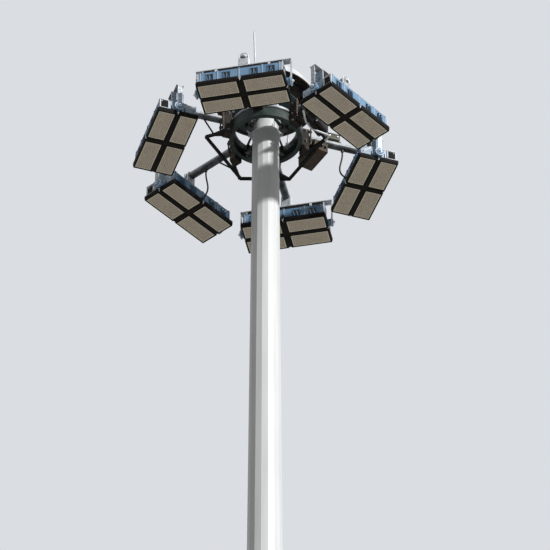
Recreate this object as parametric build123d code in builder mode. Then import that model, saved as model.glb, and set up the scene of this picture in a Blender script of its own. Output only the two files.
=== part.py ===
from build123d import *
import os
from math import cos, radians, sin, sqrt

# High mast floodlight tower. Millimetres, +Z up.
# The origin is the centre of the base flange's underside.
# Lamp 1 stands over -Y, and the others follow every 60 degrees, anticlockwise seen from above.

os.makedirs("parts", exist_ok=True)

# Mast, a folded tube of flat sides in three lengths that slip over each other
mast_sides = 16
mast_height = 25050
mast_top_width = 256
mast_growth_per_metre = 11
upper_wall = 5
middle_wall = 6
lower_wall = 8
slip_clearance = 0.3
upper_joint_z = 17300
middle_joint_z = 9300
upper_overlap = 600
middle_overlap = 700

# Base flange and its stiffeners
flange_diameter = 800
flange_thickness = 40
flange_bore = 380
anchor_circle = 680
anchor_count = 16
anchor_hole = 39
gusset_count = 8
gusset_reach = 100
gusset_height = 220
gusset_thickness = 14

# Access door
door_width = 200
door_height = 700
door_centre_z = 1000
door_corner = 40
door_clearance = 3
door_lip = 18
door_frame_depth = 30

# Mast head
spigot_length = 200
spigot_wall = 5
seam_drop = 880
collar_height = 144
collar_drop = 324
collar_wall = 5
collar_flange_diameter = 296
collar_flange_thickness = 10
head_plate_diameter = 670
head_plate_thickness = 12
head_plate_bore = 190
rope_hole = 26

# Rope sheaves
rope_count = 3
rope_first_angle = 30
rope_diameter = 8
rope_inner_radius = 80
sheave_width = 26
sheave_groove = 18
sheave_web = 12
sheave_hub = 60
sheave_rim_depth = 20
sheave_pin = 24
sheave_pin_clearance = 0.2
sheave_pin_proud = 4
sheave_rise = 135
cheek_gap = 2
cheek_thickness = 8
cheek_reach = 60

# Canopy
canopy_diameter = 968
canopy_rim_rise = 117
canopy_crown = 361
canopy_thickness = 4
canopy_bead = 12
canopy_bracket_rise = 30
canopy_bracket_height = 70
canopy_bracket_root = 60
canopy_bracket_thickness = 8
canopy_bracket_count = 3
canopy_bracket_first_angle = 90

# Lightning rod
rod_diameter = 18
rod_length = 595
rod_offset = 98
rod_angle = -78
rod_lean = 1.5
rod_boss_diameter = 46
rod_boss_height = 30

# Docking guides on the mast head
guide_count = 4
guide_first_angle = 60
guide_bar_width = 26
guide_bar_depth = 30
guide_roller_drop = 350
guide_roller_diameter = 90
guide_roller_width = 40
guide_roller_radius = 222
guide_pin_diameter = 16
guide_pin_clearance = 0.3
guide_fork_gap = 3
guide_fork_thickness = 6

# Carriage
arm_drop = 235
ring_radius = 316
ring_tube = 60
channel_height = 96
channel_reach = 42
channel_wall = 5
channel_clearance = 0.3
lamp_count = 6
arm_tube = 76
arm_wall = 4
arm_past_lamp = 42
arm_root_clearance = 0.3
post_clear_of_ring = 1
post_width = 70
post_thickness = 8
post_rise = 91
post_drop = 175
post_short_drop = 60
post_clearance = 0.3

# Guard frame, open in front of lamp 1
guard_radius = 577
guard_drop = 165
guard_bar = 25
guard_angles = [60, 120, 180, 240, 300]
guard_long_lag = 23
guard_short_lag = 12
guard_flare_root = 90
guard_flare_length = 90
brace_diameter = 16
brace_radius = 636
brace_left_out = 120

# Conduit under the guard frame, as angles and radii
conduit_diameter = 18
conduit_wall = 2
conduit_bend = 34
conduit_clearance = 0.3
conduit_route = [(50, 565), (63.6, 480), (76.5, 474), (92.5, 622), (97, 560)]

# Gear box, control box and terminal box
gear_box_length = 300
gear_box_depth = 150
gear_box_height = 98
gear_box_angle = 131
gear_box_radius = 515
gear_box_turn = 132.7
box_seat = 0.3
box_corner = 8
control_box_length = 220
control_box_depth = 110
control_box_height = 110
control_box_shift = 85
terminal_box_length = 170
terminal_box_depth = 44
terminal_box_height = 80
terminal_box_angle = 214

# Luminaire
lamp_radius = 981
lamp_drop = 465
lamp_length = 820
lamp_width = 384
tray_thickness = 28
tray_corner = 10
notch_length = 24
notch_depth = 12
panel_length = 372
panel_width = 162
panel_thickness = 12
panel_recess = 2
panel_clearance = 0.4
panel_border_long = 10
panel_border_wide = 8
sink_length = 770
sink_width = 350
sink_height = 137
sink_base = 8
fin_thickness = 3
fin_count = 25
side_panel = 3
slot_width = 80
slot_height = 96
slot_centres = [-288, -130, 130, 288]
driver_length = 740
driver_width = 120
driver_height = 140
driver_corner = 6
driver_wall = 3
pivot_rise = 80
pivot_disc = 72
pivot_disc_proud = 6
pivot_clearance = 0.05

# Yoke
yoke_thickness = 8
yoke_width = 70
yoke_leg_width = 44
yoke_eye = 10
yoke_gap = 30
yoke_run_clearance = 24

# Heights that follow
head_z = mast_height
arm_z = head_z - arm_drop
face_z = arm_z - lamp_drop
seam_z = head_z - seam_drop
pivot_z = face_z + pivot_rise
tray_top_z = face_z + tray_thickness
sink_top_z = tray_top_z + sink_height
driver_top_z = sink_top_z + driver_height
guard_z = arm_z - guard_drop
canopy_rim_z = head_z + canopy_rim_rise
half_side = 180 / mast_sides
growth = mast_growth_per_metre / 1000
arm_reach = lamp_radius + arm_past_lamp


def mast_width(z, sleeve_depth):
    """Width across flats at height z, for a tube nested sleeve_depth inside the outermost one."""
    return mast_top_width + growth * (seam_z - z) - 2 * sleeve_depth


def sided_solid(z_low, z_high, width_low, width_high):
    """A solid frustum with the mast's sides."""
    with BuildPart() as solid:
        with BuildSketch(Plane.XY.offset(z_low)):
            RegularPolygon(width_low / 2, mast_sides, major_radius=False)
        with BuildSketch(Plane.XY.offset(z_high)):
            RegularPolygon(width_high / 2, mast_sides, major_radius=False)
        loft()
    return solid.part


def sided_tube(z_low, z_high, sleeve_depth, wall):
    """A tapered tube with the mast's sides and an even wall."""
    with BuildPart() as tube:
        add(sided_solid(z_low, z_high, mast_width(z_low, sleeve_depth), mast_width(z_high, sleeve_depth)))
        inner_depth = sleeve_depth + wall
        inner = sided_solid(z_low, z_high, mast_width(z_low, inner_depth), mast_width(z_high, inner_depth))
        add(inner, mode=Mode.SUBTRACT)
    return tube.part


def outward_plane(angle, z):
    """A plane through the axis that looks outward at an angle, with its own y upward."""
    a = radians(angle)
    return Plane(origin=(0, 0, z), x_dir=(cos(a), sin(a), 0), z_dir=(sin(a), -cos(a), 0))


def radial_plane(angle, shift=0):
    """A plane that holds the axis: its x is the radius at an angle and its y is the height."""
    a = radians(angle)
    origin = (shift * cos(a), shift * sin(a), 0)
    return Plane(origin=origin, x_dir=(sin(a), -cos(a), 0), z_dir=(-cos(a), -sin(a), 0))


def polar_point(angle, radius, side=0):
    """A point in plan at a radius under an angle, moved sideways, anticlockwise seen from above."""
    a = radians(angle)
    return (radius * sin(a) + side * cos(a), -radius * cos(a) + side * sin(a))


def save(piece, name):
    piece.label = name
    export_step(piece, "parts/" + name + ".step")


# Base flange with its gussets welded on
middle_sleeve = upper_wall + slip_clearance
lower_sleeve = middle_sleeve + middle_wall + slip_clearance
gusset_low_width = mast_width(flange_thickness, lower_sleeve)
gusset_high_width = mast_width(flange_thickness + gusset_height, lower_sleeve)
gusset_toe = 20
with BuildPart() as base_flange:
    with BuildSketch():
        Circle(flange_diameter / 2)
        Circle(flange_bore / 2, mode=Mode.SUBTRACT)
        with PolarLocations(anchor_circle / 2, anchor_count):
            Circle(anchor_hole / 2, mode=Mode.SUBTRACT)
    extrude(amount=flange_thickness)
    for index in range(gusset_count):
        angle = half_side + 360 / gusset_count * index
        with BuildSketch(radial_plane(angle)):
            with BuildLine():
                Polyline(
                    (gusset_low_width / 2, flange_thickness),
                    (gusset_low_width / 2 + gusset_reach, flange_thickness),
                    (gusset_low_width / 2 + gusset_reach, flange_thickness + gusset_toe),
                    (gusset_high_width / 2 + gusset_toe, flange_thickness + gusset_height),
                    (gusset_high_width / 2, flange_thickness + gusset_height),
                    close=True,
                )
            make_face()
        extrude(amount=gusset_thickness / 2, both=True)
save(base_flange.part, "base_flange")

# Lower length of the mast, with the door opening and the frame that stiffens it
door_plane = outward_plane(half_side, door_centre_z)
door_low_z = door_centre_z - door_height / 2 - door_lip - door_frame_depth
door_high_z = door_centre_z + door_height / 2 + door_lip + door_frame_depth
door_void = sided_solid(
    door_low_z,
    door_high_z,
    mast_width(door_low_z, lower_sleeve + lower_wall),
    mast_width(door_high_z, lower_sleeve + lower_wall),
)
frame_inner_radius = mast_width(door_high_z, lower_sleeve + lower_wall) / 2 - door_frame_depth
with BuildPart() as door_frame:
    with BuildSketch(door_plane.offset(frame_inner_radius)):
        RectangleRounded(door_width + 2 * door_lip, door_height + 2 * door_lip, door_corner)
        RectangleRounded(door_width - 2 * door_lip, door_height - 2 * door_lip, door_corner, mode=Mode.SUBTRACT)
    extrude(amount=2 * door_frame_depth)
    add(door_void, mode=Mode.INTERSECT)
with BuildPart() as mast_lower:
    add(sided_tube(flange_thickness, middle_joint_z, lower_sleeve, lower_wall))
    with BuildSketch(door_plane):
        RectangleRounded(door_width, door_height, door_corner)
    extrude(amount=flange_diameter, mode=Mode.SUBTRACT)
    add(door_frame.part)
save(mast_lower.part, "mast_lower")

# Access door, the same folded sides as the mast, closed against the frame
with BuildPart() as access_door:
    add(sided_tube(door_low_z, door_high_z, lower_sleeve, lower_wall))
    with BuildSketch(door_plane):
        RectangleRounded(door_width - 2 * door_clearance, door_height - 2 * door_clearance, door_corner)
    extrude(amount=flange_diameter, mode=Mode.INTERSECT)
save(access_door.part, "access_door")

# Middle and upper lengths, each slipped over the one below
with BuildPart() as mast_middle:
    add(sided_tube(middle_joint_z - middle_overlap, upper_joint_z, middle_sleeve, middle_wall))
save(mast_middle.part, "mast_middle")
with BuildPart() as mast_upper:
    add(sided_tube(upper_joint_z - upper_overlap, seam_z, 0, upper_wall))
save(mast_upper.part, "mast_upper")

# Head tube, butted on the upper length, with a spigot inside it
spigot_sleeve = upper_wall + slip_clearance
with BuildPart() as head_tube:
    add(sided_tube(seam_z, head_z, 0, upper_wall + slip_clearance + spigot_wall))
    add(sided_tube(seam_z - spigot_length, seam_z, spigot_sleeve, spigot_wall))
save(head_tube.part, "head_tube")

# Collar round the head tube
collar_low_z = head_z - collar_drop
collar_high_z = collar_low_z + collar_height
collar_bore = mast_width(collar_low_z, 0) / cos(radians(half_side)) + 2 * slip_clearance
collar_diameter = collar_bore + 2 * collar_wall
with BuildPart() as head_collar:
    with BuildSketch(Plane.XY.offset(collar_low_z)):
        Circle(collar_diameter / 2)
        Circle(collar_bore / 2, mode=Mode.SUBTRACT)
    extrude(amount=collar_height)
    with BuildSketch(Plane.XY.offset(collar_high_z)):
        Circle(collar_flange_diameter / 2)
        Circle(collar_bore / 2, mode=Mode.SUBTRACT)
    extrude(amount=collar_flange_thickness)
save(head_collar.part, "head_collar")

# Head plate with the cheeks that carry the sheaves
sheave_radius = (ring_radius - rope_inner_radius) / 2
sheave_centre = (ring_radius + rope_inner_radius) / 2
plate_top_z = head_z + head_plate_thickness
sheave_z = plate_top_z + sheave_rise
cheek_shift = sheave_width / 2 + cheek_gap
pin_bore = sheave_pin + 2 * sheave_pin_clearance
rope_angles = [rope_first_angle + 360 / rope_count * index for index in range(rope_count)]
rope_spots = [polar_point(angle, ring_radius) for angle in rope_angles]
with BuildPart() as head_plate:
    with BuildSketch(Plane.XY.offset(head_z)):
        Circle(head_plate_diameter / 2)
        Circle(head_plate_bore / 2, mode=Mode.SUBTRACT)
        with Locations(*rope_spots):
            Circle(rope_hole / 2, mode=Mode.SUBTRACT)
    extrude(amount=head_plate_thickness)
    for angle in rope_angles:
        for side in (-1, 1):
            shift = side * (cheek_shift + cheek_thickness / 2)
            with BuildSketch(radial_plane(angle, shift)):
                with BuildLine():
                    Polyline(
                        (sheave_centre - cheek_reach, plate_top_z),
                        (sheave_centre + cheek_reach, plate_top_z),
                        (sheave_centre + cheek_reach / 2, sheave_z + cheek_reach / 2),
                        (sheave_centre - cheek_reach / 2, sheave_z + cheek_reach / 2),
                        close=True,
                    )
                make_face()
                with Locations((sheave_centre, sheave_z)):
                    Circle(pin_bore / 2, mode=Mode.SUBTRACT)
            extrude(amount=cheek_thickness / 2, both=True)
save(head_plate.part, "head_plate")

# Sheaves with a rope groove, a thin web and a hub, each on its own pin
groove_seat = sheave_radius - rope_diameter / 2
sheave_outer = sheave_radius + rope_diameter / 2
rim_inner = groove_seat - sheave_rim_depth
half_width = sheave_width / 2
half_web = sheave_web / 2
pin_half = cheek_shift + cheek_thickness + sheave_pin_proud
sheave_plane = outward_plane(0, sheave_z).offset(sheave_centre)
with BuildPart() as sheave_blank:
    with BuildSketch(sheave_plane):
        with BuildLine():
            Polyline(
                (-sheave_groove / 2, sheave_outer),
                (-half_width, sheave_outer),
                (-half_width, rim_inner),
                (-half_web, rim_inner),
                (-half_web, sheave_hub / 2),
                (-half_width, sheave_hub / 2),
                (-half_width, pin_bore / 2),
                (half_width, pin_bore / 2),
                (half_width, sheave_hub / 2),
                (half_web, sheave_hub / 2),
                (half_web, rim_inner),
                (half_width, rim_inner),
                (half_width, sheave_outer),
                (sheave_groove / 2, sheave_outer),
            )
            ThreePointArc(
                (sheave_groove / 2, sheave_outer),
                (0, groove_seat),
                (-sheave_groove / 2, sheave_outer),
            )
        make_face()
    revolve(axis=Axis(sheave_plane.origin, sheave_plane.x_dir))
    with BuildSketch(radial_plane(0)):
        with Locations((sheave_centre, sheave_z)):
            Circle(sheave_pin / 2)
    extrude(amount=pin_half, both=True)
with BuildPart() as sheaves:
    with PolarLocations(0, rope_count, start_angle=rope_first_angle):
        add(sheave_blank.part)
save(sheaves.part, "sheaves")

# Hoist ropes, from the sheaves down to the carriage ring
ring_top_z = arm_z + ring_tube / 2
with BuildPart() as hoist_ropes:
    with BuildSketch(Plane.XY.offset(ring_top_z)):
        with Locations(*rope_spots):
            Circle(rope_diameter / 2)
    extrude(amount=sheave_z - ring_top_z)
save(hoist_ropes.part, "hoist_ropes")

# Canopy, a spun dome with a rolled rim
canopy_radius = canopy_diameter / 2
dome_radius = (canopy_radius**2 + canopy_crown**2) / (2 * canopy_crown)
dome_centre_z = canopy_rim_z + canopy_crown - dome_radius


def dome_height(radius, under=0):
    """Height of the dome at a radius, a distance under its outer face."""
    return dome_centre_z + sqrt((dome_radius - under) ** 2 - radius**2)


def dome_reach(z, under=0):
    """Radius of the dome at a height, a distance under its outer face."""
    return sqrt((dome_radius - under) ** 2 - (z - dome_centre_z) ** 2)


with BuildPart() as canopy:
    with BuildSketch(radial_plane(0)):
        with BuildLine():
            inner_reach = dome_reach(canopy_rim_z, canopy_thickness)
            middle = canopy_radius / 2
            ThreePointArc((canopy_radius, canopy_rim_z), (middle, dome_height(middle)), (0, dome_height(0)))
            Line((0, dome_height(0)), (0, dome_height(0, canopy_thickness)))
            ThreePointArc(
                (0, dome_height(0, canopy_thickness)),
                (middle, dome_height(middle, canopy_thickness)),
                (inner_reach, canopy_rim_z),
            )
            Line((inner_reach, canopy_rim_z), (canopy_radius, canopy_rim_z))
        make_face()
        with Locations((canopy_radius - canopy_bead / 2, canopy_rim_z)):
            Circle(canopy_bead / 2)
    revolve(axis=Axis.Z)
save(canopy.part, "canopy")

# Brackets from the head plate out to the dome, coped to its inner face
bracket_low_z = canopy_rim_z + canopy_bracket_rise
bracket_high_z = bracket_low_z + canopy_bracket_height
bracket_middle_z = (bracket_low_z + bracket_high_z) / 2
bracket_under = canopy_thickness + slip_clearance
plate_edge = head_plate_diameter / 2
with BuildPart() as canopy_brackets:
    for index in range(canopy_bracket_count):
        angle = canopy_bracket_first_angle + 360 / canopy_bracket_count * index
        with BuildSketch(radial_plane(angle)):
            with BuildLine():
                Polyline(
                    (dome_reach(bracket_high_z, bracket_under), bracket_high_z),
                    (plate_edge - canopy_bracket_root, plate_top_z + canopy_bracket_root),
                    (plate_edge - canopy_bracket_root, plate_top_z),
                    (plate_edge, plate_top_z),
                    (dome_reach(bracket_low_z, bracket_under), bracket_low_z),
                )
                ThreePointArc(
                    (dome_reach(bracket_low_z, bracket_under), bracket_low_z),
                    (dome_reach(bracket_middle_z, bracket_under), bracket_middle_z),
                    (dome_reach(bracket_high_z, bracket_under), bracket_high_z),
                )
            make_face()
        extrude(amount=canopy_bracket_thickness / 2, both=True)
save(canopy_brackets.part, "canopy_brackets")

# Lightning rod and its boss on the dome
rod_x, rod_y = polar_point(rod_angle, rod_offset)
lean_x, lean_y = polar_point(rod_angle, sin(radians(rod_lean)))
rod_plane = Plane(
    origin=(rod_x, rod_y, dome_height(rod_offset)),
    z_dir=(lean_x, lean_y, cos(radians(rod_lean))),
)
with BuildPart() as lightning_rod:
    with BuildSketch(rod_plane.offset(rod_boss_height)):
        Circle(rod_diameter / 2)
    extrude(amount=rod_length - rod_boss_height)
    with BuildSketch(rod_plane.offset(rod_boss_height)):
        Circle(rod_boss_diameter / 2)
    extrude(until=Until.NEXT, target=canopy.part, dir=-rod_plane.z_dir)
save(lightning_rod.part, "lightning_rod")

# Docking guides, bars that slope from the head tube to a roller
roller_z = head_z - guide_roller_drop
guide_angles = [guide_first_angle + 360 / guide_count * index for index in range(guide_count)]
fork_half = guide_roller_width / 2 + guide_fork_gap
roller_bore = guide_pin_diameter + 2 * guide_pin_clearance
with BuildPart() as docking_guides:
    for angle in guide_angles:
        for side in (-1, 1):
            shift = side * (fork_half + guide_fork_thickness / 2)
            with BuildSketch(radial_plane(angle, shift)):
                with BuildLine():
                    Polyline(
                        (collar_diameter / 2, collar_high_z),
                        (collar_diameter / 2, collar_high_z - guide_bar_depth),
                        (guide_roller_radius - guide_bar_width / 2, roller_z - guide_bar_depth / 2),
                        (guide_roller_radius + guide_bar_width / 2, roller_z - guide_bar_depth / 2),
                        (guide_roller_radius + guide_bar_width / 2, roller_z + guide_bar_depth / 2),
                        close=True,
                    )
                make_face()
            extrude(amount=guide_fork_thickness / 2, both=True)
        with BuildSketch(radial_plane(angle)):
            with Locations((guide_roller_radius, roller_z)):
                Circle(guide_pin_diameter / 2)
        extrude(amount=fork_half + guide_fork_thickness, both=True)
save(docking_guides.part, "docking_guides")
with BuildPart() as guide_rollers:
    for angle in guide_angles:
        with BuildSketch(radial_plane(angle)):
            with Locations((guide_roller_radius, roller_z)):
                Circle(guide_roller_diameter / 2)
                Circle(roller_bore / 2, mode=Mode.SUBTRACT)
        extrude(amount=guide_roller_width / 2, both=True)
save(guide_rollers.part, "guide_rollers")

# Carriage ring, a bent tube
with BuildPart() as carriage_ring:
    with BuildSketch(radial_plane(0)):
        with Locations((ring_radius, arm_z)):
            Circle(ring_tube / 2)
    revolve(axis=Axis.Z)
save(carriage_ring.part, "carriage_ring")

# Cable channel, a rolled channel under the roots of the arms, open toward the mast
channel_top_z = arm_z - arm_tube / 2 - channel_clearance
channel_low_z = channel_top_z - channel_height
channel_outer = ring_radius + ring_tube / 2
channel_web = channel_outer - channel_wall
channel_middle = (channel_outer - channel_reach / 2, channel_top_z - channel_height / 2)
with BuildPart() as cable_channel:
    with BuildSketch(radial_plane(0)):
        with Locations(channel_middle):
            Rectangle(channel_reach, channel_height)
            with Locations((-channel_wall, 0)):
                Rectangle(channel_reach, channel_height - 2 * channel_wall, mode=Mode.SUBTRACT)
    revolve(axis=Axis.Z)
save(cable_channel.part, "cable_channel")

# Arms, tubes coped to the ring and closed by a rounded cap
lamp_angles = [360 / lamp_count * index for index in range(lamp_count)]
with BuildPart() as arm_blank:
    with BuildSketch(outward_plane(0, arm_z).offset(ring_radius)):
        Circle(arm_tube / 2)
        Circle(arm_tube / 2 - arm_wall, mode=Mode.SUBTRACT)
    extrude(amount=arm_reach - ring_radius - arm_tube / 2)
    with BuildSketch(radial_plane(0)):
        with BuildLine():
            cap_start = arm_reach - arm_tube / 2
            Line((cap_start, arm_z), (arm_reach, arm_z))
            RadiusArc((arm_reach, arm_z), (cap_start, arm_z + arm_tube / 2), -arm_tube / 2)
            Line((cap_start, arm_z + arm_tube / 2), (cap_start, arm_z))
        make_face()
    revolve(axis=Axis(origin=(0, 0, arm_z), direction=(0, -1, 0)))
    with BuildSketch(radial_plane(0)):
        with Locations((ring_radius, arm_z)):
            Circle(ring_tube / 2 + arm_root_clearance)
    revolve(axis=Axis.Z, mode=Mode.SUBTRACT)
arm = arm_blank.part.solids().sort_by(Axis.Y)[0]
with BuildPart() as arms:
    with PolarLocations(0, lamp_count):
        add(arm)
save(arms.part, "arms")

# Hanger posts, two cheeks and a foot astride each arm root, short on the arm without a guard
post_in = ring_radius + ring_tube / 2 + post_clear_of_ring
post_half = arm_tube / 2 + post_clearance
post_top_z = arm_z + post_rise
with BuildPart() as arm_posts:
    for angle in lamp_angles:
        post_foot_z = arm_z - (post_drop if angle in guard_angles else post_short_drop)
        with BuildSketch(outward_plane(angle, 0).offset(post_in)):
            with Locations((0, (post_top_z + post_foot_z) / 2)):
                Rectangle(2 * (post_half + post_thickness), post_top_z - post_foot_z)
            with Locations((0, (post_top_z + post_foot_z + post_thickness) / 2)):
                Rectangle(2 * post_half, post_top_z - post_foot_z - post_thickness, mode=Mode.SUBTRACT)
        extrude(amount=post_width)
save(arm_posts.part, "arm_posts")

# Guard frame, bars from corner to corner, with a flared stay from each corner to its post
# and a thin brace from each stay up to its arm, but for the arm where the gear box stands
guard_lags = [guard_long_lag if index % 2 else guard_short_lag for index in range(len(guard_angles))]
guard_corners = [angle - lag for angle, lag in zip(guard_angles, guard_lags)]
guard_points = [polar_point(corner, guard_radius) for corner in guard_corners]
post_out = post_in + post_width
stay_overrun = guard_bar / 2
brace_low_z = guard_z + guard_bar / 2


def run_between(start, end):
    """Length and direction in plan from one point to another."""
    length = sqrt((end[0] - start[0]) ** 2 + (end[1] - start[1]) ** 2)
    return length, (end[0] - start[0]) / length, (end[1] - start[1]) / length


with BuildPart() as guard_frame:
    for start, end in zip(guard_points, guard_points[1:]):
        length, run_x, run_y = run_between(start, end)
        with BuildSketch(Plane(origin=(*start, guard_z), x_dir=(run_x, run_y, 0), z_dir=(0, 0, 1))):
            with Locations((length / 2, guard_bar / 2)):
                Rectangle(length, guard_bar)
        extrude(amount=guard_bar)
    for point, angle in zip(guard_points, guard_angles):
        foot = polar_point(angle, post_out)
        length, run_x, run_y = run_between(foot, point)
        with BuildSketch(Plane(origin=(*foot, guard_z), x_dir=(run_x, run_y, 0), z_dir=(0, 0, 1))):
            with Locations(((length - stay_overrun - guard_bar) / 2, 0)):
                Rectangle(length - stay_overrun + guard_bar, guard_bar)
        extrude(amount=guard_bar)
        flare_x, flare_y = foot[0] + run_x * guard_flare_length, foot[1] + run_y * guard_flare_length
        with BuildSketch(Plane.XY.offset(guard_z)):
            with BuildLine():
                Polyline(
                    polar_point(angle, post_out, guard_flare_root / 2),
                    polar_point(angle, post_out, -guard_flare_root / 2),
                    (flare_x + run_y * guard_bar / 2, flare_y - run_x * guard_bar / 2),
                    (flare_x - run_y * guard_bar / 2, flare_y + run_x * guard_bar / 2),
                    close=True,
                )
            make_face()
        extrude(amount=guard_bar)
        if angle != brace_left_out:
            brace_foot = Vector((foot[0] + point[0]) / 2, (foot[1] + point[1]) / 2, brace_low_z)
            brace_head = Vector(*polar_point(angle, brace_radius), arm_z)
            brace = brace_head - brace_foot
            with BuildSketch(Plane(origin=brace_foot, z_dir=brace)):
                Circle(brace_diameter / 2)
            extrude(amount=brace.length)
        with BuildSketch(outward_plane(angle, arm_z).offset(post_in)):
            Circle(arm_tube / 2 + post_clearance)
        extrude(amount=lamp_radius, mode=Mode.SUBTRACT)
        with BuildSketch(outward_plane(angle, guard_z).offset(post_in)):
            Rectangle(2 * (post_half + post_thickness + slip_clearance), 4 * guard_bar)
        extrude(amount=post_width + slip_clearance, mode=Mode.SUBTRACT)
save(guard_frame.part, "guard_frame")

# Conduit, a bent tube under the near bar of the guard frame
conduit_z = guard_z - conduit_clearance - conduit_diameter / 2
conduit_points = [(*polar_point(angle, radius), conduit_z) for angle, radius in conduit_route]
with BuildPart() as conduit:
    with BuildLine() as conduit_path:
        FilletPolyline(*conduit_points, radius=conduit_bend)
    with BuildSketch(Plane(origin=conduit_path.line @ 0, z_dir=conduit_path.line % 0)):
        Circle(conduit_diameter / 2)
        Circle(conduit_diameter / 2 - conduit_wall, mode=Mode.SUBTRACT)
    sweep()
save(conduit.part, "conduit")

# Gear box, seated on the guard frame
box_z = guard_z + guard_bar + box_seat
gear_plane = Plane(
    origin=(*polar_point(gear_box_angle, gear_box_radius), box_z),
    x_dir=(cos(radians(gear_box_turn)), sin(radians(gear_box_turn)), 0),
    z_dir=(0, 0, 1),
)
with BuildPart() as gear_box:
    with BuildSketch(gear_plane):
        RectangleRounded(gear_box_length, gear_box_depth, box_corner)
    extrude(amount=gear_box_height)
save(gear_box.part, "gear_box")

# Control box, seated on the near bar of the guard frame
control_turn = (guard_corners[0] + guard_corners[1]) / 2
control_radius = guard_radius * cos(radians(guard_corners[1] - control_turn)) - guard_bar / 2
control_plane = Plane(
    origin=(*polar_point(control_turn, control_radius, control_box_shift), box_z),
    x_dir=(cos(radians(control_turn)), sin(radians(control_turn)), 0),
    z_dir=(0, 0, 1),
)
with BuildPart() as control_box:
    with BuildSketch(control_plane):
        RectangleRounded(control_box_length, control_box_depth, box_corner)
    extrude(amount=control_box_height)
save(control_box.part, "control_box")

# Terminal box, seated in the cable channel with its outer edges at the web
terminal_out = sqrt(channel_web**2 - (terminal_box_length / 2) ** 2) - box_seat
terminal_plane = Plane(
    origin=(
        *polar_point(terminal_box_angle, terminal_out - terminal_box_depth / 2),
        channel_low_z + channel_wall + box_seat,
    ),
    x_dir=(cos(radians(terminal_box_angle)), sin(radians(terminal_box_angle)), 0),
    z_dir=(0, 0, 1),
)
with BuildPart() as terminal_box:
    with BuildSketch(terminal_plane):
        RectangleRounded(terminal_box_length, terminal_box_depth, box_corner)
    extrude(amount=terminal_box_height)
save(terminal_box.part, "terminal_box")

# Luminaires: the tray that frames the panels, the panels, the heat sink and the driver box
pocket_x = panel_length / 2 + (lamp_length - 2 * panel_length - 2 * panel_border_long) / 2
pocket_y = panel_width / 2 + (lamp_width - 2 * panel_width - 2 * panel_border_wide) / 2
pocket_spots = [(x, y - lamp_radius) for x in (-pocket_x, pocket_x) for y in (-pocket_y, pocket_y)]
pocket_depth = panel_recess + panel_thickness
with BuildPart() as tray_blank:
    with BuildSketch(Plane.XY.offset(face_z)):
        with Locations((0, -lamp_radius)):
            RectangleRounded(lamp_length, lamp_width, tray_corner)
    extrude(amount=tray_thickness)
    with BuildSketch(Plane.XY.offset(face_z)):
        with Locations(*pocket_spots):
            Rectangle(panel_length, panel_width)
    extrude(amount=pocket_depth, mode=Mode.SUBTRACT)
    with BuildSketch(Plane.XY.offset(face_z)):
        with Locations((0, -lamp_radius)):
            with GridLocations(0, lamp_width, 1, 2):
                Rectangle(notch_length, 2 * notch_depth)
            with GridLocations(lamp_length, 0, 2, 1):
                Rectangle(2 * notch_depth, notch_length)
    extrude(amount=tray_thickness, mode=Mode.SUBTRACT)
with BuildPart() as panels_blank:
    with BuildSketch(Plane.XY.offset(face_z + panel_recess)):
        with Locations(*pocket_spots):
            Rectangle(panel_length - 2 * panel_clearance, panel_width - 2 * panel_clearance)
    extrude(amount=panel_thickness)

fin_pitch = (sink_length - fin_thickness) / (fin_count - 1)
yoke_in = lamp_length / 2 + yoke_gap
disc_root = sink_length / 2 - fin_thickness / 2
disc_end = yoke_in + yoke_thickness + pivot_disc_proud
slots = [(x, tray_top_z + sink_height / 2) for x in slot_centres]
with BuildPart() as sink_blank:
    with BuildSketch(Plane.XY.offset(tray_top_z)):
        with Locations((0, -lamp_radius)):
            Rectangle(sink_length, sink_width)
    extrude(amount=sink_base)
    with BuildSketch(Plane.XY.offset(tray_top_z + sink_base)):
        with Locations((0, -lamp_radius)):
            with GridLocations(fin_pitch, 0, fin_count, 1):
                Rectangle(fin_thickness, sink_width - 2 * side_panel)
            with GridLocations(0, sink_width - side_panel, 1, 2):
                Rectangle(sink_length, side_panel)
    extrude(amount=sink_height - sink_base)
    for side in (-1, 1):
        with BuildSketch(Plane.XZ.offset(lamp_radius + side * (sink_width / 2 + side_panel))):
            with Locations(*slots):
                Rectangle(slot_width, slot_height)
        extrude(amount=-side * 2 * side_panel, mode=Mode.SUBTRACT)
        with BuildSketch(Plane.YZ.offset(side * disc_root)):
            with Locations((-lamp_radius, pivot_z)):
                Circle(pivot_disc / 2 - pivot_clearance)
        extrude(amount=side * (disc_end - disc_root))
with BuildPart() as driver_blank:
    with BuildSketch(Plane.XY.offset(sink_top_z)):
        with Locations((0, -lamp_radius)):
            RectangleRounded(driver_length, driver_width, driver_corner)
    extrude(amount=driver_height)
    offset(amount=-driver_wall, openings=faces().sort_by(Axis.Z)[0])

for number, angle in enumerate(lamp_angles, start=1):
    turn = Rot(0, 0, angle)
    save(turn * tray_blank.part, "lamp_%d_tray" % number)
    save(turn * panels_blank.part, "lamp_%d_panels" % number)
    save(turn * sink_blank.part, "lamp_%d_heat_sink" % number)
    save(turn * driver_blank.part, "lamp_%d_driver_box" % number)

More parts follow.
